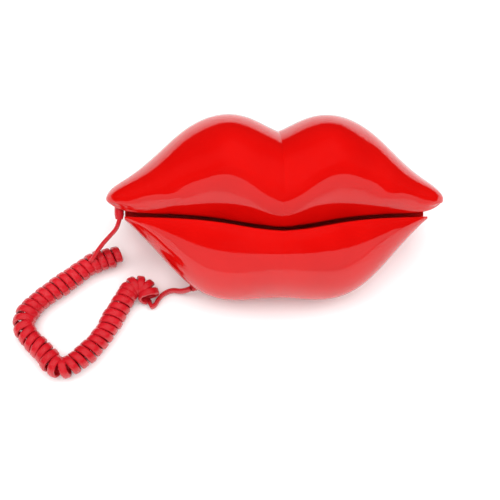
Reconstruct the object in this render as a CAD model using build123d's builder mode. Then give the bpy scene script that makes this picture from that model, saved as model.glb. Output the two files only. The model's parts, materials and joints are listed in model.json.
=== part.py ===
"""Novelty lips telephone: a wedge-shaped desk base with the lower lip on it, and an
upper-lip handset that rests on the sloped bed of the base.  Millimetres, +Z up,
+Y to the back, the origin under the middle of the telephone at desk level."""
from build123d import *
from math import cos, pi, radians, sin, tan
import os

os.makedirs("parts", exist_ok=True)

# ---------------------------------------------------------------- driving dimensions
FACE_TILT = 28.0            # slope of the lips' face above the desk, degrees
FACE_Y = 1.2                # the face plane's origin, midway between the mouth corners
FACE_Z = 32.6
WALL = 2.4                  # moulded wall of both shells
FIT = 0.2                   # gap round a cover inside its shell
MOUTH_GAP = 2.4             # slit between the lips
REST_GAP = 0.4              # handset back above the bed
FOOT_HEIGHT = 3.0
COVER_THICK = 2.4
EDGE_RADIUS = 1.8           # soft edge of both lips along the mouth
BED_INSET = 4.0             # bed edge inside the upper lip's outline

SIN, COS = sin(radians(FACE_TILT)), cos(radians(FACE_TILT))
FACE = Plane(origin=(0, FACE_Y, FACE_Z), x_dir=(1, 0, 0), z_dir=(0, -SIN, COS))

# Upper lip, one row for each cross-section from the middle out: distance from the
# middle, top outline, mouth line, depth at the mouth edge, then height and depth of
# the shoulder and of the crown.  Heights run up the sloped face, depths out of it.
UPPER_LIP = (
    (0.0, 52.0, -10.0, 37.0, 4.0, 44.5, 17.0, 47.5),
    (9.0, 56.3, -9.3, 36.0, 7.0, 45.0, 19.0, 48.3),
    (20.0, 61.0, -7.9, 33.0, 12.0, 45.0, 24.0, 49.0),
    (33.0, 62.8, -5.7, 30.0, 16.0, 43.5, 29.0, 48.5),
    (47.0, 59.8, -3.8, 28.0, 13.0, 38.5, 26.0, 44.0),
    (62.0, 51.0, -2.6, 25.5, 9.0, 32.5, 21.0, 37.0),
    (78.0, 36.6, -2.0, 21.5, 5.5, 26.0, 15.0, 29.5),
    (92.0, 24.8, -1.2, 17.0, 4.5, 19.8, 11.0, 22.0),
    (102.0, 18.2, 1.2, 12.5, 5.0, 15.0, 9.5, 16.5),
    (107.0, 14.4, 4.0, 8.5, 6.0, 10.8, 9.0, 12.0),
)
LIP_TIP = (110.0, 8.8, 5.0)

# Lower lip and bed: distance from the middle, top outline above the bed, mouth line,
# chin outline, depth at the mouth edge, depth of the widest place of the chin.
LOWER_LIP = (
    (0.0, 52.0, -10.0, -55.2, 46.0, 7.0),
    (9.0, 56.3, -9.3, -55.6, 45.8, 7.0),
    (20.0, 61.0, -7.9, -56.4, 45.0, 7.0),
    (33.0, 62.8, -5.7, -56.3, 42.5, 7.0),
    (47.0, 59.8, -3.8, -52.4, 38.5, 7.0),
    (62.0, 51.0, -2.6, -41.9, 33.0, 7.0),
    (78.0, 36.6, -2.0, -25.0, 25.5, 6.0),
    (92.0, 24.8, -1.6, -10.6, 16.5, 4.0),
    (98.0, 21.0, -1.5, -5.2, 11.0, 2.0),
)


def section_plane(u):
    """Cross-section of the lips at u: local x up the face, local y out of it."""
    return Plane(origin=(u, FACE_Y, FACE_Z), x_dir=(0, COS, SIN), z_dir=(1, 0, 0))


def level_depth(h, z):
    """Depth in the face frame of the point at height h and desk level z."""
    return (z - FACE_Z - SIN * h) / COS


def drop_to(h, d, z):
    """Point straight below (h, d), on the level z."""
    fall = FACE_Z + SIN * h + COS * d - z
    return (h - SIN * fall, d - COS * fall)


def arc_points(start_h, start_d, end_h, end_d, angles):
    """Points on the quarter ellipse that leaves the crown and drops to an outline."""
    return [
        (start_h + (end_h - start_h) * sin(radians(a)),
         end_d + (start_d - end_d) * cos(radians(a)))
        for a in angles
    ]


def handset_section(station, inset, back):
    """Closed outline of the upper lip at one station, drawn inset from the skin."""
    u, top, mouth, edge_d, shoulder_h, shoulder_d, crown_h, crown_d = station
    low = mouth + MOUTH_GAP / 2 + inset
    high = top - inset
    edge = edge_d - inset
    bend = min(EDGE_RADIUS, 0.2 * (high - low))
    crown = (crown_h, crown_d - inset)
    front = [(low, edge - bend), (low + 0.3 * bend, edge - 0.25 * bend)]
    front += [(low + bend, edge + 0.4 * bend)]
    front += [(shoulder_h + 0.5 * inset, shoulder_d - 0.85 * inset), crown]
    front += arc_points(*crown, high, 6.0 * crown_d / 48, (30, 60, 90))
    front += [(high - 1.2, back)]
    with BuildSketch(section_plane(u)) as outline:
        with BuildLine():
            Line((high - 1.2, back), (low, back))
            Line((low, back), front[0])
            Spline(*front)
        make_face()
    return outline.sketch


def base_section(station, inset, floor):
    """Closed outline of the base at one station: bed, mouth wall, lower lip, foot."""
    u, top, mouth, chin, edge_d, widest_d = station
    bed_d = -REST_GAP - inset
    rear = top - BED_INSET - inset
    wall = mouth - MOUTH_GAP / 2 - inset
    low = chin + inset
    edge = edge_d - inset
    bend = min(EDGE_RADIUS, 0.3 * (wall - low))
    foot_h = low + 2.6
    front = [(wall, edge - bend), (wall - 0.3 * bend, edge - 0.25 * bend)]
    front += [(wall - bend, edge)]
    front += arc_points(wall - bend, edge, low, widest_d, (28, 50, 70, 90))
    front += [(foot_h, widest_d - 8.0)]
    heel = drop_to(rear, bed_d, floor)
    toe = (foot_h, level_depth(foot_h, floor))
    with BuildSketch(section_plane(u)) as outline:
        with BuildLine():
            Line(toe, heel)
            Line(heel, (rear, bed_d))
            Line((rear, bed_d), (wall, bed_d))
            Line((wall, bed_d), front[0])
            Spline(*front)
            Line(front[-1], toe)
        make_face()
    return outline.sketch


def lofted(draw, stations, inset, low, tip=None):
    """Both halves of a body lofted through its stations, joined at the middle."""
    sections = [draw(station, inset, low) for station in stations]
    if tip is not None:
        point = section_plane(tip[0]).from_local_coords((tip[1], tip[2], 0))
        sections.append(Vertex(*point))
    with BuildPart() as body:
        loft(sections=sections)
        mirror(about=Plane.YZ)
    return body


def export(part, name):
    part.label = name
    export_step(part, f"parts/{name}.step")


# ---------------------------------------------------------------- blanks of the shells
FLOOR = FOOT_HEIGHT
SHORT_LIP = UPPER_LIP[:-1]
SHORT_BASE = LOWER_LIP[:-1]
handset_skin = lofted(handset_section, UPPER_LIP, 0, 0, LIP_TIP)
handset_hollow = lofted(handset_section, SHORT_LIP, WALL, -2)
handset_lining = lofted(handset_section, SHORT_LIP, WALL + FIT, -2)
base_skin = lofted(base_section, LOWER_LIP, 0, FLOOR)
base_hollow = lofted(base_section, SHORT_BASE, WALL, FLOOR - 2)
base_lining = lofted(base_section, SHORT_BASE, WALL + FIT, FLOOR - 2)

# ---------------------------------------------------------------- shared small sizes
BOSS_RADIUS = 3.4
SCREW_RADIUS = 1.4
SCREW_HEAD_RADIUS = 2.7
SCREW_HEAD = 1.2
SCREW_LENGTH = 10.0
CLEAR = 0.05                # running clearance on a radius
HANDSET_SCREWS = [(-91, 9), (91, 9), (-50, 44), (50, 44)]
BASE_SCREWS = [(-75, 8), (75, 8), (-48, -26), (48, -26)]
FEET = [(-58, 24), (58, 24), (-24, -33), (24, -33)]
FOOT_RADIUS = 6.0

# keypad on the back of the handset, its top towards the earpiece
KEY_SIZE = (10.0, 8.0)      # along the handset, across it
KEY_PITCH = (14.0, 13.0)
KEY_TOP_ROW = 27.0
KEY_FIRST_COLUMN = 6.0
KEY_RECESS = 0.4
KEY_GAP = 0.3
FUNCTION_ROW = -31.0
KEYS = [
    (f"key_{label}", KEY_TOP_ROW - KEY_PITCH[0] * row, KEY_FIRST_COLUMN + KEY_PITCH[1] * column)
    for row, labels in enumerate((("1", "2", "3"), ("4", "5", "6"), ("7", "8", "9"),
                                  ("star", "0", "hash")))
    for column, label in enumerate(labels)
]
KEYS += [
    (f"key_{label}", FUNCTION_ROW, KEY_FIRST_COLUMN + KEY_PITCH[1] * column)
    for column, label in enumerate(("redial", "flash", "mute"))
]
MAT_DEPTH = 4.6
BOARD_DEPTH = 6.2
KEYPAD_CENTRE = (-2.0, 19.0)
EARPIECE = (68.0, 19.0)
MICROPHONE = (-72.0, 14.0)

# hook plunger under the handset
HOOK = (26.0, 14.0)
PLUNGER_RADIUS = 3.5
FLANGE_RADIUS = 5.3
STEM_RADIUS = 1.9
FLANGE_DEPTH = -9.6
GUIDE_END = -19.5

# sockets and switch in the back wall, cord entries
JACK_X, JACK_Z, JACK_FACE = 33.0, 22.0, 53.8
JACK_SIZE = (14.0, 14.8, 12.0)
SOCKET_SIZE = (9.7, 11.8, 6.8)
SWITCH_X, SWITCH_Z = -33.0, 22.0
SLIDER_TRAVEL = 6.0
HANDSET_CORD = (-101.5, -4.5, 6.0)      # outer end of the relief, in the face frame
BASE_CORD = (-55.4, -42.3, 9.0)         # outer end of the relief, at desk level
BASE_CORD_AXIS = (0.86, 0.5, 0.0)
RELIEF_RADIUS = 3.0
RELIEF_TIP = 2.3


# ---------------------------------------------------------------- handset
def columns_in(skin, plane, places, radius, height):
    """Screw columns from a plane up into a shell's skin."""
    with BuildPart() as columns:
        with BuildSketch(plane):
            with Locations(*places):
                Circle(radius)
        extrude(amount=height)
        add(skin.part, mode=Mode.INTERSECT)
    return columns


def screws(plane, places):
    """Tapping screws with their heads flush with a plane, pointing up from it."""
    with BuildPart() as group:
        with BuildSketch(plane):
            with Locations(*places):
                Circle(SCREW_HEAD_RADIUS)
        extrude(amount=SCREW_HEAD)
        with BuildSketch(plane):
            with Locations(*places):
                Circle(SCREW_RADIUS)
        extrude(amount=SCREW_LENGTH)
        for place in places:
            with BuildSketch(plane):
                with Locations(place):
                    Rectangle(3.2, 0.7)
                    Rectangle(0.7, 3.2)
            extrude(amount=0.7, mode=Mode.SUBTRACT)
    return group


def make_handset_shell():
    columns = columns_in(handset_skin, FACE.offset(COVER_THICK), HANDSET_SCREWS,
                         BOSS_RADIUS, 50)
    entry = Plane(origin=FACE.from_local_coords((HANDSET_CORD[0], -3.0, HANDSET_CORD[2])),
                  x_dir=(1, 0, 0), z_dir=(0, COS, SIN))
    with BuildPart() as shell:
        add(handset_skin.part)
        add(handset_hollow.part, mode=Mode.SUBTRACT)
        add(columns.part)
        with BuildSketch(FACE.offset(COVER_THICK)):
            with Locations(*HANDSET_SCREWS):
                Circle(SCREW_RADIUS + CLEAR)
        extrude(amount=SCREW_LENGTH - COVER_THICK + 1, mode=Mode.SUBTRACT)
        with BuildSketch(entry):
            Circle(RELIEF_RADIUS + CLEAR)
        extrude(amount=12.5, mode=Mode.SUBTRACT)
    export(shell.part, "handset_shell")


def make_handset_plate():
    """Flat back of the handset with the keypad windows and both grilles."""
    with BuildPart() as plate:
        add(handset_lining.part)
        split(bisect_by=FACE.offset(COVER_THICK), keep=Keep.BOTTOM)
        split(bisect_by=FACE, keep=Keep.TOP)
        with BuildSketch(FACE.offset(-1)):
            with Locations(*[(u, h) for _, u, h in KEYS]):
                RectangleRounded(KEY_SIZE[0] + 2 * KEY_GAP, KEY_SIZE[1] + 2 * KEY_GAP, 2)
        extrude(amount=COVER_THICK + 2, mode=Mode.SUBTRACT)
        with BuildSketch(FACE.offset(-1)):
            with Locations(EARPIECE):
                Circle(1.1)
                with PolarLocations(5.0, 6):
                    Circle(1.1)
                with PolarLocations(9.5, 12):
                    Circle(1.1)
            with Locations(MICROPHONE):
                with PolarLocations(2.2, 3):
                    Circle(0.8)
        extrude(amount=COVER_THICK + 2, mode=Mode.SUBTRACT)
        for place in HANDSET_SCREWS:
            with BuildSketch(FACE):
                with Locations(place):
                    Circle(SCREW_HEAD_RADIUS + CLEAR)
            extrude(amount=SCREW_HEAD + CLEAR, mode=Mode.SUBTRACT)
            with BuildSketch(FACE):
                with Locations(place):
                    Circle(SCREW_RADIUS + CLEAR)
            extrude(amount=COVER_THICK + 1, mode=Mode.SUBTRACT)
    export(plate.part, "handset_plate")


def make_keys():
    """Keys recessed in the plate, each held by a flange behind its window."""
    flange_depth = COVER_THICK + 0.2
    for name, u, h in KEYS:
        with BuildPart() as key:
            with BuildSketch(FACE.offset(KEY_RECESS)):
                with Locations((u, h)):
                    RectangleRounded(*KEY_SIZE, 1.8)
            extrude(amount=3.0)
            with BuildSketch(FACE.offset(flange_depth)):
                with Locations((u, h)):
                    RectangleRounded(KEY_SIZE[0] + 2, KEY_SIZE[1] + 2, 2)
            extrude(amount=0.8)
        export(key.part, name)


def make_handset_insides():
    with BuildPart() as mat:
        with BuildSketch(FACE.offset(MAT_DEPTH)):
            with Locations(KEYPAD_CENTRE):
                RectangleRounded(72, 38, 3)
        extrude(amount=1.2)
    export(mat.part, "keypad_mat")

    with BuildPart() as board:
        with BuildSketch(FACE.offset(BOARD_DEPTH)):
            with Locations(KEYPAD_CENTRE):
                Rectangle(72, 36)
        extrude(amount=1.6)
        with BuildSketch(FACE.offset(BOARD_DEPTH + 1.6)):
            with Locations((-18, 19)):
                Rectangle(16, 8)
            with Locations((8, 24), (22, 12)):
                Circle(3.5)
        extrude(amount=5)
    export(board.part, "handset_board")

    with BuildPart() as earpiece:
        with BuildSketch(FACE.offset(COVER_THICK + 0.1)):
            with Locations(EARPIECE):
                Circle(15)
        extrude(amount=4)
        with BuildSketch(FACE.offset(COVER_THICK + 4.1)):
            with Locations(EARPIECE):
                Circle(9)
        extrude(amount=5)
    export(earpiece.part, "earpiece")

    with BuildPart() as microphone:
        with BuildSketch(FACE.offset(COVER_THICK + 0.1)):
            with Locations(MICROPHONE):
                Circle(4.8)
        extrude(amount=4.5)
    export(microphone.part, "microphone")

    with BuildPart() as weight:
        with BuildSketch(FACE.offset(COVER_THICK + 0.1)):
            with Locations((0, 43.5)):
                Rectangle(70, 6)
        extrude(amount=8)
    export(weight.part, "handset_weight")

    export(screws(FACE, HANDSET_SCREWS).part, "handset_screws")


# ---------------------------------------------------------------- base
def make_base_shell():
    columns = columns_in(base_skin, Plane.XY.offset(FLOOR + COVER_THICK), BASE_SCREWS,
                         BOSS_RADIUS, 60)
    entry = Plane(origin=BASE_CORD, x_dir=(0, 0, 1), z_dir=BASE_CORD_AXIS)
    with BuildPart() as shell:
        add(base_skin.part)
        add(base_hollow.part, mode=Mode.SUBTRACT)
        add(columns.part)
        with BuildSketch(Plane.XY.offset(FLOOR + COVER_THICK)):
            with Locations(*BASE_SCREWS):
                Circle(SCREW_RADIUS + CLEAR)
        extrude(amount=SCREW_LENGTH - COVER_THICK + 1, mode=Mode.SUBTRACT)
        with BuildSketch(FACE.offset(0)):
            with Locations(HOOK):
                Circle(PLUNGER_RADIUS + CLEAR)
        extrude(amount=-WALL - 3, mode=Mode.SUBTRACT)
        with BuildSketch(entry):
            Circle(RELIEF_RADIUS + CLEAR)
        extrude(amount=12, mode=Mode.SUBTRACT)
        with BuildSketch(Plane.XZ.offset(-JACK_FACE - 1)):
            with Locations((JACK_X, JACK_Z)):
                Rectangle(JACK_SIZE[0] + 0.2, JACK_SIZE[2] + 0.2)
            with Locations((SWITCH_X, SWITCH_Z)):
                Rectangle(SLIDER_TRAVEL + 4.8, 3.6)
        extrude(amount=8, mode=Mode.SUBTRACT)
    export(shell.part, "base_shell")


def make_bottom_cover():
    """Plate that closes the base, with board posts and ringer holes."""
    with BuildPart() as cover:
        add(base_lining.part)
        split(bisect_by=Plane.XY.offset(FLOOR + COVER_THICK), keep=Keep.BOTTOM)
        split(bisect_by=Plane.XY.offset(FLOOR), keep=Keep.TOP)
        with BuildSketch(Plane.XY.offset(FLOOR + COVER_THICK)):
            with Locations((0, 12)):
                with GridLocations(88, 26, 2, 2):
                    Circle(2.6)
        extrude(amount=12.0 - FLOOR - COVER_THICK)
        with BuildSketch(Plane.XY.offset(FLOOR)):
            with Locations((-28, 10)):
                Circle(1.2)
                with PolarLocations(5.0, 6):
                    Circle(1.2)
        extrude(amount=COVER_THICK, mode=Mode.SUBTRACT)
        for place in BASE_SCREWS:
            with BuildSketch(Plane.XY.offset(FLOOR)):
                with Locations(place):
                    Circle(SCREW_HEAD_RADIUS + CLEAR)
            extrude(amount=SCREW_HEAD + CLEAR, mode=Mode.SUBTRACT)
            with BuildSketch(Plane.XY.offset(FLOOR)):
                with Locations(place):
                    Circle(SCREW_RADIUS + CLEAR)
            extrude(amount=COVER_THICK + 1, mode=Mode.SUBTRACT)
    export(cover.part, "bottom_cover")


def make_feet():
    with BuildPart() as feet:
        with BuildSketch(Plane.XY):
            with Locations(*FEET):
                Circle(FOOT_RADIUS)
        extrude(amount=FOOT_HEIGHT)
        chamfer(feet.faces().filter_by(Plane.XY).group_by(Axis.Z)[0].edges(), 0.8)
    export(feet.part, "rubber_feet")


def make_hook():
    """Plunger that the handset holds down, its guide, spring and switch."""
    with BuildPart() as plunger:
        with BuildSketch(FACE.offset(-0.1)):
            with Locations(HOOK):
                Circle(PLUNGER_RADIUS)
        extrude(amount=FLANGE_DEPTH + 0.1)
        chamfer(plunger.faces().sort_by(Axis.Z)[-1].edges(), 0.6)
        with BuildSketch(FACE.offset(FLANGE_DEPTH)):
            with Locations(HOOK):
                Circle(FLANGE_RADIUS)
        extrude(amount=-1.5)
        with BuildSketch(FACE.offset(FLANGE_DEPTH - 1.5)):
            with Locations(HOOK):
                Circle(STEM_RADIUS)
        extrude(amount=-10.8)
    export(plunger.part, "hook_plunger")

    with BuildPart() as guide:
        with BuildSketch(FACE.offset(-REST_GAP - WALL)):
            with Locations(HOOK):
                Circle(FLANGE_RADIUS + 2.0)
        extrude(amount=GUIDE_END + REST_GAP + WALL)
        with BuildSketch(FACE.offset(-REST_GAP - WALL)):
            with Locations(HOOK):
                Circle(FLANGE_RADIUS + 0.4)
        extrude(amount=GUIDE_END + REST_GAP + WALL + 1.2, mode=Mode.SUBTRACT)
        with BuildSketch(FACE.offset(GUIDE_END)):
            with Locations(HOOK):
                Circle(STEM_RADIUS + CLEAR)
        extrude(amount=1.2, mode=Mode.SUBTRACT)
    export(guide.part, "hook_guide")

    spring_foot = FACE.from_local_coords((HOOK[0], HOOK[1], GUIDE_END + 1.7))
    with BuildPart() as spring:
        with BuildLine():
            coil = Helix(1.9, 5.7, 3.6, center=spring_foot, direction=(0, -SIN, COS))
        with BuildSketch(Plane(origin=coil @ 0, z_dir=coil % 0)):
            Circle(0.4)
        sweep()
    export(spring.part, "hook_spring")

    with BuildPart() as switch:
        with Locations((HOOK[0], 25, 16.0)):
            Box(20, 6.4, 4.6)
    export(switch.part, "hook_switch")


def make_line_jack():
    centre_y = JACK_FACE - JACK_SIZE[1] / 2
    with BuildPart() as jack:
        with Locations((JACK_X, centre_y, JACK_Z)):
            Box(*JACK_SIZE)
        with Locations((JACK_X, JACK_FACE - SOCKET_SIZE[1] / 2, JACK_Z)):
            Box(*SOCKET_SIZE, mode=Mode.SUBTRACT)
        with Locations((JACK_X, JACK_FACE - 3, JACK_Z - SOCKET_SIZE[2] / 2 - 0.7)):
            Box(4.0, 6.0, 1.4, mode=Mode.SUBTRACT)
    export(jack.part, "line_jack")

    with BuildPart() as contacts:
        with Locations((JACK_X, JACK_FACE - 6.5, JACK_Z + SOCKET_SIZE[2] / 2 - 0.5)):
            with GridLocations(1.3, 1, 4, 1):
                Box(0.5, 8.0, 0.9)
    export(contacts.part, "jack_contacts")


def make_ringer_switch():
    with BuildPart() as body:
        with Locations((SWITCH_X, 47.0, SWITCH_Z)):
            Box(16, 6.4, 8)
    export(body.part, "ringer_switch")

    slider_x = SWITCH_X - SLIDER_TRAVEL / 2
    with BuildPart() as slider:
        with Locations((slider_x, 52.7, SWITCH_Z)):
            Box(4.0, 4.4, 2.8)
        for offset in (-1.0, 0.0, 1.0):
            with Locations((slider_x + offset, 54.9, SWITCH_Z)):
                Box(0.3, 0.6, 2.8, mode=Mode.SUBTRACT)
    export(slider.part, "ringer_slider")


def make_base_insides():
    with BuildPart() as ballast:
        with Locations((0, -25, FLOOR + COVER_THICK + 2.6)):
            Box(80, 22, 5)
    export(ballast.part, "ballast_plate")

    with BuildPart() as board:
        with BuildSketch(Plane.XY.offset(12.0)):
            with Locations((0, 12)):
                Rectangle(98, 36)
        extrude(amount=1.6)
        with BuildSketch(Plane.XY.offset(13.6)):
            with Locations((0, 4)):
                Rectangle(18, 8)
            with Locations((42, 4), (-44, 18)):
                Circle(4)
        extrude(amount=6)
    export(board.part, "main_board")

    with BuildPart() as ringer:
        with BuildSketch(Plane.XY.offset(13.7)):
            with Locations((-28, 10)):
                Circle(11)
        extrude(amount=7)
        with BuildSketch(Plane.XY.offset(20.7)):
            with Locations((-28, 10)):
                Circle(1.5)
        extrude(amount=-2, mode=Mode.SUBTRACT)
    export(ringer.part, "ringer")

    export(screws(Plane.XY.offset(FLOOR), BASE_SCREWS).part, "cover_screws")


# ---------------------------------------------------------------- cord
CORD_TUBE = 2.0             # radius of the plain tube of a straight tail
COIL_RADIUS = 7.2           # outer radius of the curly cord
HOOK_COIL_RADIUS = 4.8      # and of its folded last turns
COIL_Z = 7.3

HANDSET_TAIL = [
    (-101.5, -6.2, 35.4), (-102.3, -9.8, 33.1), (-106.5, -12.5, 28.5),
    (-112.0, -16.0, 22.8), (-117.0, -21.0, 18.0), (-120.8, -27.5, 14.0),
]
COIL = [
    (-103.5, -18.3), (-118.0, -21.3), (-130.0, -31.8), (-142.0, -40.8), (-155.0, -51.3),
    (-163.5, -63.8), (-158.5, -74.8), (-147.5, -85.3), (-141.5, -94.8), (-134.5, -96.3),
    (-121.5, -85.8), (-112.0, -74.8), (-106.0, -62.8), (-97.0, -46.1),
]
COIL_HOOK = [
    (-97.0, -46.1), (-94.5, -41.4), (-89.9, -39.4), (-85.1, -41.0), (-82.5, -45.2), (-83.2, -51.5),
]
BASE_TAIL = [
    BASE_CORD, (-61.0, -43.5, 5.5), (-67.5, -40.5, 2.6), (-74.0, -43.5, 2.2),
    (-79.0, -49.5, 2.2), (-81.5, -54.5, 2.2), (-85.5, -54.8, 2.2), (-86.3, -50.8, 2.6),
]


def bend_radii(points):
    """Radius of each corner's arc: 0.45 of its shorter run over tan of half the turn."""
    places = [Vector(*point) for point in points]
    radii = []
    for before, corner, after in zip(places, places[1:], places[2:]):
        arriving, leaving = corner - before, after - corner
        half_turn = radians(arriving.get_angle(leaving)) / 2
        radii.append(0.45 * min(arriving.length, leaving.length) / tan(half_turn))
    return radii


def tube_along(name, points, radius):
    """Plain tube along straight runs joined by tangent arcs."""
    radii = bend_radii(points)
    with BuildPart() as tube:
        with BuildLine() as path:
            FilletPolyline(*points, radius=radii)
        with BuildSketch(Plane(origin=path.line @ 0, z_dir=path.line % 0)):
            Circle(radius)
        sweep()
    length = path.wires()[0].length
    fill = tube.part.volume / (pi * radius ** 2 * length)
    print(name, "radii", [round(r, 1) for r in radii])
    print(name, "length", round(length, 1), "volume over section times length", round(fill, 3))
    export(tube.part, name)


def make_reliefs():
    """Tapered strain reliefs where the cord enters the handset and the base."""
    tip = FACE.from_local_coords(HANDSET_CORD)
    for name, plane, length in (
        ("handset_relief", Plane(origin=tip, x_dir=(1, 0, 0), z_dir=(0, COS, SIN)), 13.5),
        ("base_relief", Plane(origin=BASE_CORD, x_dir=(0, 0, 1), z_dir=BASE_CORD_AXIS), 11.5),
    ):
        with BuildPart() as relief:
            with BuildSketch(plane):
                Circle(RELIEF_TIP)
            with BuildSketch(plane.offset(3.0)):
                Circle(RELIEF_RADIUS)
            loft()
            with BuildSketch(plane.offset(3.0)):
                Circle(RELIEF_RADIUS)
            extrude(amount=length - 3.0)
        export(relief.part, name)


def make_cord():
    make_reliefs()
    tube_along("handset_tail", HANDSET_TAIL, CORD_TUBE)
    tube_along("curly_cord", [(x, y, COIL_Z) for x, y in COIL], COIL_RADIUS)
    tube_along("curly_cord_end", [(x, y, COIL_Z) for x, y in COIL_HOOK], HOOK_COIL_RADIUS)
    tube_along("base_tail", BASE_TAIL, CORD_TUBE)


make_handset_shell()
make_handset_plate()
make_keys()
make_handset_insides()
make_base_shell()
make_bottom_cover()
make_feet()
make_hook()
make_line_jack()
make_ringer_switch()
make_base_insides()
make_cord()
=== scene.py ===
"""Studio scene of the lips telephone round its fixed CAD frame, in metres."""
import json
import math

import bmesh
import bpy
from mathutils import Matrix, Vector


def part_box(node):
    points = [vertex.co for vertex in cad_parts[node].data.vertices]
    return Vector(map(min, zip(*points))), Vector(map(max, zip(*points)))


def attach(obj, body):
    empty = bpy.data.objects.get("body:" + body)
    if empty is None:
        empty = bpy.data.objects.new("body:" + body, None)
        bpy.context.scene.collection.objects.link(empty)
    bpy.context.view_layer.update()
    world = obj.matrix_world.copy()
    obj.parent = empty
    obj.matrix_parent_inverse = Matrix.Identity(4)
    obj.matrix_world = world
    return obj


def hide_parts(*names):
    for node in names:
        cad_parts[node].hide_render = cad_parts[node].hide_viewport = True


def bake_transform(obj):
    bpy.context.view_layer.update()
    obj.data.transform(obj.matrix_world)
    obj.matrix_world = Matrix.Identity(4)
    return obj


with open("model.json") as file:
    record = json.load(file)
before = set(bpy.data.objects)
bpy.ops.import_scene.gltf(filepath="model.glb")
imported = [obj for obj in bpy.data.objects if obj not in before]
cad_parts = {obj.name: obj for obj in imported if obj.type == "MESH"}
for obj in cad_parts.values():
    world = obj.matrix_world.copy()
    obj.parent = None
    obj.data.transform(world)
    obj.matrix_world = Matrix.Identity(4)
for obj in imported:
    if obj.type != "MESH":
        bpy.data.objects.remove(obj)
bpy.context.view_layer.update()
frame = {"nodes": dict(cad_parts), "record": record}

UP = Vector((0, 0, 1))

# ---------------------------------------------------------------- the sloped face
FACE_TILT = math.radians(28.0)
FACE_ORIGIN = Vector((0.0, 0.0012, 0.0326))
FACE_UP = Vector((0.0, math.cos(FACE_TILT), math.sin(FACE_TILT)))
FACE_OUT = Vector((0.0, -math.sin(FACE_TILT), math.cos(FACE_TILT)))


def on_face(u, h, d):
    """Point at u to the right, h up the face and d out of it."""
    return FACE_ORIGIN + Vector((u, 0, 0)) + FACE_UP * h + FACE_OUT * d


def pose_of(right, up, out, place):
    """Matrix of an object with these three axes at this place."""
    rows = [(right[i], up[i], out[i], place[i]) for i in range(3)]
    return Matrix((*rows, (0, 0, 0, 1)))


# ---------------------------------------------------------------- camera
LIPS_CENTRE = on_face(0, 0.002, 0.020)
CAMERA_DISTANCE = 0.680
CAMERA_TURN = math.radians(6.5)     # to the left of the face's own normal
CAMERA_LENS = 77.1
SENSOR_WIDTH = 36
CLIP_START = 0.01
LOOK_LEFT = 0.0187                  # the frame's centre, seen from the lips' centre
LOOK_DOWN = 0.0259


def add_camera():
    """Camera square to the face, rolled so that the lips' tips are level."""
    to_camera = Vector((-math.sin(CAMERA_TURN), 0, 0)) + FACE_OUT * math.cos(CAMERA_TURN)
    place = LIPS_CENTRE + to_camera * CAMERA_DISTANCE
    right = FACE_UP.cross(to_camera).normalized()
    up = to_camera.cross(right)
    aim = LIPS_CENTRE - right * LOOK_LEFT - up * LOOK_DOWN
    backward = (place - aim).normalized()
    right = FACE_UP.cross(backward).normalized()
    up = backward.cross(right)
    camera = bpy.data.objects.new("camera", bpy.data.cameras.new("camera"))
    bpy.context.scene.collection.objects.link(camera)
    camera.data.lens = CAMERA_LENS
    camera.data.sensor_width = SENSOR_WIDTH
    camera.data.clip_start = CLIP_START
    camera.matrix_world = pose_of(right, up, backward, place)
    bpy.context.scene.camera = camera


add_camera()

# ---------------------------------------------------------------- materials
DRIFT_SCALE = 35.0          # slow change of colour across a piece
WEAR_SCALE = 260.0          # change of gloss
BUMP_DISTANCE = 0.0002
COAT_ROUGHNESS = 0.03


def new_material(name):
    material = bpy.data.materials.new(name)
    material.use_nodes = True
    nodes = material.node_tree.nodes
    return material, nodes, material.node_tree.links, nodes["Principled BSDF"]


def add_noise(nodes, links, scale, detail):
    coordinates = nodes.new("ShaderNodeTexCoord")
    noise = nodes.new("ShaderNodeTexNoise")
    noise.inputs["Scale"].default_value = scale
    noise.inputs["Detail"].default_value = detail
    links.new(coordinates.outputs["Object"], noise.inputs["Vector"])
    return noise.outputs["Fac"]


def add_range(nodes, links, value, low, high):
    spread = nodes.new("ShaderNodeMapRange")
    spread.inputs["To Min"].default_value = low
    spread.inputs["To Max"].default_value = high
    links.new(value, spread.inputs["Value"])
    return spread.outputs["Result"]


def add_bump(nodes, links, shader, height, strength):
    bump = nodes.new("ShaderNodeBump")
    bump.inputs["Strength"].default_value = strength
    bump.inputs["Distance"].default_value = BUMP_DISTANCE
    links.new(height, bump.inputs["Height"])
    links.new(bump.outputs["Normal"], shader.inputs["Normal"])


def add_tint(nodes, links, shader, value, dark, light):
    ramp = nodes.new("ShaderNodeValToRGB")
    low, high = ramp.color_ramp.elements
    low.position = 0.35
    low.color = (*dark, 1)
    high.position = 0.65
    high.color = (*light, 1)
    links.new(value, ramp.inputs["Fac"])
    links.new(ramp.outputs["Color"], shader.inputs["Base Color"])


def moulded(name, dark, light, rough, grain, bump, metallic=0.0, specular=0.5):
    """Moulded or rolled surface: slight colour drift, uneven gloss and a fine grain."""
    material, nodes, links, shader = new_material(name)
    drift = add_noise(nodes, links, DRIFT_SCALE, 2.0)
    add_tint(nodes, links, shader, drift, dark, light)
    wear = add_noise(nodes, links, WEAR_SCALE, 4.0)
    gloss = add_range(nodes, links, wear, *rough)
    links.new(gloss, shader.inputs["Roughness"])
    fine = add_noise(nodes, links, grain, 4.0)
    add_bump(nodes, links, shader, fine, bump)
    shader.inputs["Coat Roughness"].default_value = COAT_ROUGHNESS
    shader.inputs["Metallic"].default_value = metallic
    shader.inputs["Specular IOR Level"].default_value = specular
    return material


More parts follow.
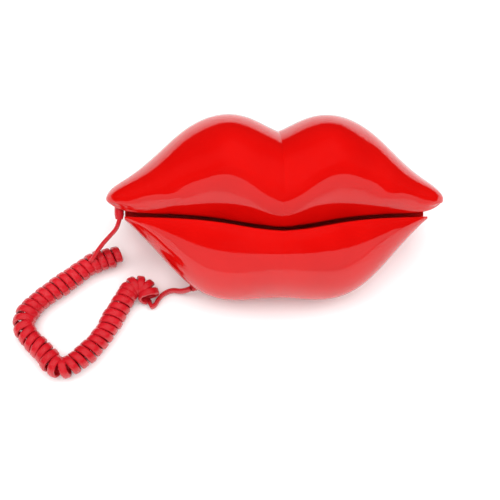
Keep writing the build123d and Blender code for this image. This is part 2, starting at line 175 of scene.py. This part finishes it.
lip_red = moulded("lip_red", (0.525, 0.0022, 0.0016), (0.555, 0.0028, 0.0020),
                  (0.05, 0.09), 420.0, 0.012)
plate_red = moulded("plate_red", (0.40, 0.005, 0.004), (0.44, 0.007, 0.005),
                    (0.26, 0.36), 2600.0, 0.18)
cord_red = moulded("cord_red", (0.45, 0.007, 0.013), (0.53, 0.011, 0.019),
                   (0.20, 0.32), 1500.0, 0.10, specular=0.6)
cover_black = moulded("cover_black", (0.016, 0.016, 0.017), (0.026, 0.026, 0.028),
                      (0.42, 0.58), 3200.0, 0.45)
part_black = moulded("part_black", (0.014, 0.014, 0.015), (0.022, 0.022, 0.023),
                     (0.32, 0.44), 2400.0, 0.22)
rubber_black = moulded("rubber_black", (0.012, 0.012, 0.012), (0.024, 0.024, 0.024),
                       (0.62, 0.80), 1900.0, 0.40)
zinc = moulded("zinc", (0.50, 0.51, 0.53), (0.62, 0.63, 0.65), (0.20, 0.34), 1500.0, 0.08,
               metallic=1.0)
mill_steel = moulded("mill_steel", (0.34, 0.35, 0.36), (0.44, 0.45, 0.47), (0.34, 0.50),
                     900.0, 0.15, metallic=1.0)
board_green = moulded("board_green", (0.010, 0.10, 0.035), (0.014, 0.14, 0.05),
                      (0.24, 0.36), 900.0, 0.10)
acetal = moulded("acetal", (0.74, 0.72, 0.66), (0.80, 0.78, 0.72), (0.28, 0.40), 1500.0, 0.08)
gold = moulded("gold", (0.80, 0.58, 0.24), (0.88, 0.66, 0.30), (0.14, 0.24), 1500.0, 0.05,
               metallic=1.0)
silicone = moulded("silicone", (0.20, 0.20, 0.21), (0.26, 0.26, 0.27), (0.50, 0.64), 1800.0,
                   0.18)
key_white = moulded("key_white", (0.72, 0.70, 0.65), (0.78, 0.76, 0.71), (0.20, 0.30),
                    2200.0, 0.10)
print_black = moulded("print_black", (0.010, 0.010, 0.010), (0.018, 0.018, 0.018),
                      (0.35, 0.50), 2200.0, 0.05)

SLOT_MATERIALS = {
    "red_shell": lip_red, "red_plate": plate_red, "dark_cover": cover_black,
    "rubber": rubber_black, "steel": zinc, "ballast": mill_steel, "board": board_green,
    "black_part": part_black, "white_part": acetal, "jack": part_black, "contacts": gold,
    "mat": silicone, "key": key_white, "cord": cord_red,
}


def paint(piece, material):
    piece.data.materials.clear()
    piece.data.materials.append(material)


def paint_nodes():
    """Every CAD node gets the material of its slot in the record."""
    for part in frame["record"]["subparts"]:
        node = frame["nodes"][part["node"]]
        if not node.material_slots:
            node.data.materials.append(None)
        for place in node.material_slots:
            place.material = SLOT_MATERIALS[part["material_slot"]]


paint_nodes()

# ---------------------------------------------------------------- cord
CORD_WIDTH = 0.0050
CORD_THICK = 0.0026
COIL_Z = 0.0076
COIL_OUTER = 0.0072
TURN_PITCH = 0.0054
POINTS_PER_TURN = 24
START_ANGLE = math.radians(90)
HOOK_START = 0.87           # where along the coil its folded last turns start
HOOK_EXTRA_TURNS = 1.4      # more turns there than the same length has elsewhere
END_SHRINK = 0.10           # how much narrower the coil is at its two ends
FIRST_TAPER = 0.05          # share of the coil over which it narrows
LAST_TAPER = 0.10
RADIUS_WAVES = ((0.00022, 41.0, 0.0), (0.00016, 97.0, 1.0))     # size, rate, shift
ANGLE_WAVES = ((0.35, 12.0, 0.0), (0.25, 29.0, 0.6))

LINE_STEP = 0.0012          # between points of a tail or of the coil's middle line
JOIN_STEP = 0.0016          # longest step of the finished path
STUB_LENGTH = 0.020         # how far inside the coil the handset's end turns back
STUB_DROP = 0.0012
TAIL_OVERLAP = 4            # points of the handset's tail that the stub takes over
SPIRAL_STEPS = 14           # from the coil's open end out to its first turn
SPIRAL_INNER = 0.25
SPIRAL_BULGE = 0.0008
PATH_ROUNDS = 3
WIDTH_ROUNDS = 10
RIM_STEPS = 6               # points round each rounded edge of the strip
EDGE_ON = Vector((-0.11, -0.47, 0.88)).normalized()

HANDSET_TAIL = [
    (-0.1010, -0.0041, 0.0367), (-0.1023, -0.0098, 0.0331), (-0.1065, -0.0125, 0.0285),
    (-0.1120, -0.0160, 0.0228), (-0.1170, -0.0210, 0.0180), (-0.1208, -0.0275, 0.0140),
]
COIL = [
    (-0.1035, -0.0183), (-0.1180, -0.0213), (-0.1300, -0.0318), (-0.1420, -0.0408),
    (-0.1550, -0.0513), (-0.1635, -0.0638), (-0.1585, -0.0748), (-0.1475, -0.0853),
    (-0.1415, -0.0948), (-0.1345, -0.0963), (-0.1215, -0.0858), (-0.1120, -0.0748),
    (-0.1060, -0.0628), (-0.0970, -0.0461), (-0.0945, -0.0414), (-0.0899, -0.0394),
    (-0.0851, -0.0410), (-0.0825, -0.0452), (-0.0832, -0.0515),
]
BASE_TAIL = [
    (-0.0554, -0.0423, 0.0090), (-0.0610, -0.0435, 0.0055), (-0.0675, -0.0405, 0.0030),
    (-0.0740, -0.0435, 0.0027), (-0.0772, -0.0480, 0.0027), (-0.0788, -0.0520, 0.0027),
    (-0.0812, -0.0532, 0.0026),
]


def smooth_line(points):
    """Points along the NURBS spline that has these as its control points."""
    curve = bpy.data.curves.new("route", "CURVE")
    curve.dimensions = "3D"
    curve.resolution_u = 24
    spline = curve.splines.new("NURBS")
    spline.points.add(len(points) - 1)
    for control, point in zip(spline.points, points):
        control.co = (*point, 1.0)
    spline.order_u = 3
    spline.use_endpoint_u = True
    route = bpy.data.objects.new("route", curve)
    bpy.context.scene.collection.objects.link(route)
    mesh = bpy.data.meshes.new_from_object(route)
    line = [vertex.co.copy() for vertex in mesh.vertices]
    bpy.data.objects.remove(route)
    bpy.data.curves.remove(curve)
    bpy.data.meshes.remove(mesh)
    return line


def evenly(line, step):
    """The same line at even steps, with its total length."""
    lengths = [0.0]
    for before, after in zip(line, line[1:]):
        lengths.append(lengths[-1] + (after - before).length)
    count = max(2, round(lengths[-1] / step))
    result = []
    index = 0
    for place in range(count + 1):
        target = lengths[-1] * place / count
        while index < len(line) - 2 and lengths[index + 1] < target:
            index += 1
        share = (target - lengths[index]) / max(1e-9, lengths[index + 1] - lengths[index])
        result.append(line[index].lerp(line[index + 1], min(1.0, share)))
    return result, lengths[-1]


def waver(waves, place):
    """Small unevenness of the winding at this place along the coil."""
    return sum(size * math.sin(rate * place + shift) for size, rate, shift in waves)


def turn_radius(place):
    """Radius of the strip's middle: full along the desk, a little less at both ends."""
    outer = COIL_OUTER - CORD_THICK / 2
    ends = min(1.0, place / FIRST_TAPER, (1.0 - place) / LAST_TAPER)
    return outer * (1 - END_SHRINK + END_SHRINK * ends) + waver(RADIUS_WAVES, place)


def coil_points(axis, length):
    """The strip's middle along every turn, and the way its width lies there."""
    turns = length / TURN_PITCH
    count = round(turns * POINTS_PER_TURN)
    points, widths = [], []
    for index in range(count + 1):
        place = index / count
        spot = place * (len(axis) - 1)
        near = min(int(spot), len(axis) - 2)
        centre = axis[near].lerp(axis[near + 1], spot - near)
        ahead = axis[min(near + 3, len(axis) - 1)]
        along = (ahead - axis[max(near - 2, 0)]).normalized()
        side = along.cross(UP).normalized()
        folded = max(0.0, place - HOOK_START) / (1 - HOOK_START)
        wound = turns * place + HOOK_EXTRA_TURNS * folded
        angle = START_ANGLE - 2 * math.pi * wound + waver(ANGLE_WAVES, place)
        outward = side * math.cos(angle) + UP * math.sin(angle)
        points.append(centre + outward * turn_radius(place))
        widths.append(along)
    return points, widths


def lead_in(axis, first, width):
    """From the handset's tail through the coil to its open end, then out to a turn."""
    inside = []
    total = 0.0
    for before, after in zip(axis, axis[1:]):
        total += (after - before).length
        inside.append(after.copy())
        if total > STUB_LENGTH:
            break
    run = [point - UP * STUB_DROP for point in reversed(inside)]
    centre = axis[0]
    side = width.cross(UP).normalized()
    for step in range(1, SPIRAL_STEPS):
        share = step / SPIRAL_STEPS
        angle = START_ANGLE + math.pi * (1.0 - share)
        radius = (first - centre).length * (SPIRAL_INNER + (1 - SPIRAL_INNER) * share)
        outward = side * math.cos(angle) + UP * math.sin(angle)
        bulge = width * SPIRAL_BULGE * math.sin(math.pi * share)
        run.append(centre + outward * radius - bulge)
    return run


def cord_path():
    """The whole cord's middle line from handset to base, and the way its width lies."""
    axis, length = evenly(smooth_line([(x, y, COIL_Z) for x, y in COIL]), LINE_STEP)
    turns, turn_widths = coil_points(axis, length)
    tail, _ = evenly(smooth_line(HANDSET_TAIL), LINE_STEP)
    tail = tail[:-TAIL_OVERLAP]
    lead = lead_in(axis, turns[0], turn_widths[0])
    base, _ = evenly(smooth_line(list(reversed(BASE_TAIL))), LINE_STEP)
    last_turn = range(len(turns) - POINTS_PER_TURN, len(turns))
    lowest = min(last_turn, key=lambda i: turns[i].z)
    path = tail + lead + turns[:lowest + 1] + base
    widths = [EDGE_ON] * len(tail)
    widths += [UP] * (len(lead) - SPIRAL_STEPS) + [turn_widths[0]] * SPIRAL_STEPS
    widths += turn_widths[:lowest + 1] + [UP] * len(base)
    return path, widths


def close_gaps(path, widths):
    """The same path with no step longer than JOIN_STEP."""
    joined, joined_widths = [path[0]], [widths[0]]
    for point, width in zip(path[1:], widths[1:]):
        start = joined[-1].copy()
        gap = point - start
        parts = max(1, math.ceil(gap.length / JOIN_STEP))
        for part in range(1, parts + 1):
            joined.append(start + gap * (part / parts))
            joined_widths.append(width)
    return joined, joined_widths


def relax(path, rounds):
    """Rounds off the path's small corners and keeps its two ends."""
    for _ in range(rounds):
        middle = [(a + b * 2 + c) / 4 for a, b, c in zip(path, path[1:], path[2:])]
        path = [path[0]] + middle + [path[-1]]
    return path


def settle(widths, rounds):
    """Spreads each twist of the strip over its neighbours."""
    for _ in range(rounds):
        before = widths[:1] + widths[:-1]
        after = widths[1:] + widths[-1:]
        widths = [(a + b * 2 + c).normalized() for a, b, c in zip(before, widths, after)]
    return widths


def strip_mesh(name, path, widths):
    """A flat strip with rounded edges swept along a path."""
    half_flat = (CORD_WIDTH - CORD_THICK) / 2
    rim = []
    for centre, start in ((half_flat, -90), (-half_flat, 90)):
        for step in range(RIM_STEPS):
            angle = math.radians(start + 180 / (RIM_STEPS - 1) * step)
            rim.append((centre + CORD_THICK / 2 * math.cos(angle),
                        CORD_THICK / 2 * math.sin(angle)))
    mesh = bpy.data.meshes.new(name)
    build = bmesh.new()
    rings = []
    for index, point in enumerate(path):
        ahead = path[min(index + 1, len(path) - 1)] - path[max(index - 1, 0)]
        forward = ahead.normalized()
        width = (widths[index] - forward * widths[index].dot(forward)).normalized()
        thick = forward.cross(width)
        rings.append([build.verts.new(point + width * a + thick * b) for a, b in rim])
    for near, far in zip(rings, rings[1:]):
        for index in range(len(rim)):
            after = (index + 1) % len(rim)
            build.faces.new((near[index], near[after], far[after], far[index]))
    build.faces.new(list(reversed(rings[0])))
    build.faces.new(rings[-1])
    bmesh.ops.recalc_face_normals(build, faces=build.faces)
    for face in build.faces:
        face.smooth = len(face.verts) == 4
    build.to_mesh(mesh)
    build.free()
    strip = bpy.data.objects.new(name, mesh)
    bpy.context.scene.collection.objects.link(strip)
    return strip


def build_cord():
    """The whole cord as one strip, from the handset's tail to the base."""
    path, widths = close_gaps(*cord_path())
    path = relax(path, PATH_ROUNDS)
    strip = strip_mesh("cord", path, settle(widths, WIDTH_ROUNDS))
    paint(strip, cord_red)
    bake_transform(strip)
    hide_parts("handset_tail", "curly_cord", "curly_cord_end", "base_tail")


build_cord()

# ---------------------------------------------------------------- key legends
KEY_LEGENDS = {
    "key_1": "1", "key_2": "2", "key_3": "3", "key_4": "4", "key_5": "5", "key_6": "6",
    "key_7": "7", "key_8": "8", "key_9": "9", "key_star": "*", "key_0": "0", "key_hash": "#",
}
LEGEND_HEIGHT = 0.0052
LEGEND_THICK = 0.00006
KEY_FACE = 0.0004           # how far out of the face a key's outer side is


def text_mesh(sign):
    """Thin flat mesh of one character, centred on its own origin."""
    letter = bpy.data.curves.new("legend", "FONT")
    letter.body = sign
    letter.size = LEGEND_HEIGHT
    letter.extrude = LEGEND_THICK
    letter.align_x = "CENTER"
    letter.align_y = "CENTER"
    source = bpy.data.objects.new("legend", letter)
    bpy.context.scene.collection.objects.link(source)
    mesh = bpy.data.meshes.new_from_object(source)
    bpy.data.objects.remove(source)
    return mesh


def add_legends():
    """A printed sign on the face of each key, its top towards the earpiece."""
    for node, sign in KEY_LEGENDS.items():
        low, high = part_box(node)
        centre = (Vector(low) + Vector(high)) / 2
        away = (centre - FACE_ORIGIN).dot(FACE_OUT)
        place = centre - FACE_OUT * (away - KEY_FACE)
        piece = bpy.data.objects.new(node + "_legend", text_mesh(sign))
        bpy.context.scene.collection.objects.link(piece)
        piece.matrix_world = pose_of(FACE_UP, Vector((1, 0, 0)), -FACE_OUT, place)
        paint(piece, print_black)
        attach(piece, node)


add_legends()

# ---------------------------------------------------------------- studio
FLOOR_HALF = 4.0
FLOOR_WHITE = 0.90
FLOOR_ROUGHNESS = 0.9
FLOOR_SPECULAR = 0.1
LAMP_AIM = (0, 0, 0.03)
CARD_HEIGHT = 0.34          # of the middle of the white card in front
CARD_TALL = 0.66
WORLD_STRENGTH = 0.02


def add_light(name, place, aim, size, power, seen=False):
    """Area lamp; one that isn't seen lights the object but doesn't show in its gloss."""
    lamp = bpy.data.lights.new(name, "AREA")
    lamp.shape = "DISK"
    lamp.size = size
    lamp.energy = power
    light = bpy.data.objects.new(name, lamp)
    bpy.context.scene.collection.objects.link(light)
    light.location = place
    light.rotation_euler = (Vector(aim) - Vector(place)).to_track_quat("-Z", "Y").to_euler()
    light.visible_glossy = seen
    return light


def add_floor():
    mesh = bpy.data.meshes.new("floor")
    corners = [(x * FLOOR_HALF, y * FLOOR_HALF, 0) for x, y in ((-1, -1), (1, -1), (1, 1), (-1, 1))]
    mesh.from_pydata(corners, [], [(0, 1, 2, 3)])
    floor = bpy.data.objects.new("floor", mesh)
    bpy.context.scene.collection.objects.link(floor)
    material, _, _, shader = new_material("pale_floor")
    shader.inputs["Base Color"].default_value = (FLOOR_WHITE, FLOOR_WHITE, FLOOR_WHITE, 1)
    shader.inputs["Roughness"].default_value = FLOOR_ROUGHNESS
    shader.inputs["Specular IOR Level"].default_value = FLOOR_SPECULAR
    paint(floor, material)


def add_lights():
    """Soft light from above and three sides, and a low white card in front."""
    add_light("overhead", (0.0, 0.1, 1.5), (0, 0, 0), 2.4, 40)
    add_light("front_fill", (-0.2, -1.2, 0.9), LAMP_AIM, 1.2, 8)
    add_light("left_fill", (-1.2, 0.0, 0.8), LAMP_AIM, 1.0, 6)
    add_light("right_fill", (1.2, 0.1, 0.8), LAMP_AIM, 1.0, 6)
    card = add_light("front_card", (0.0, -1.6, CARD_HEIGHT), (0, 0, CARD_HEIGHT), 8.0, 14,
                     seen=True)
    card.data.shape = "RECTANGLE"
    card.data.size_y = CARD_TALL


def add_world():
    world = bpy.data.worlds.new("studio")
    bpy.context.scene.world = world
    world.use_nodes = True
    background = world.node_tree.nodes["Background"]
    background.inputs["Color"].default_value = (1, 1, 1, 1)
    background.inputs["Strength"].default_value = WORLD_STRENGTH
    bpy.context.scene.view_settings.view_transform = "Standard"


add_floor()
add_lights()
add_world()
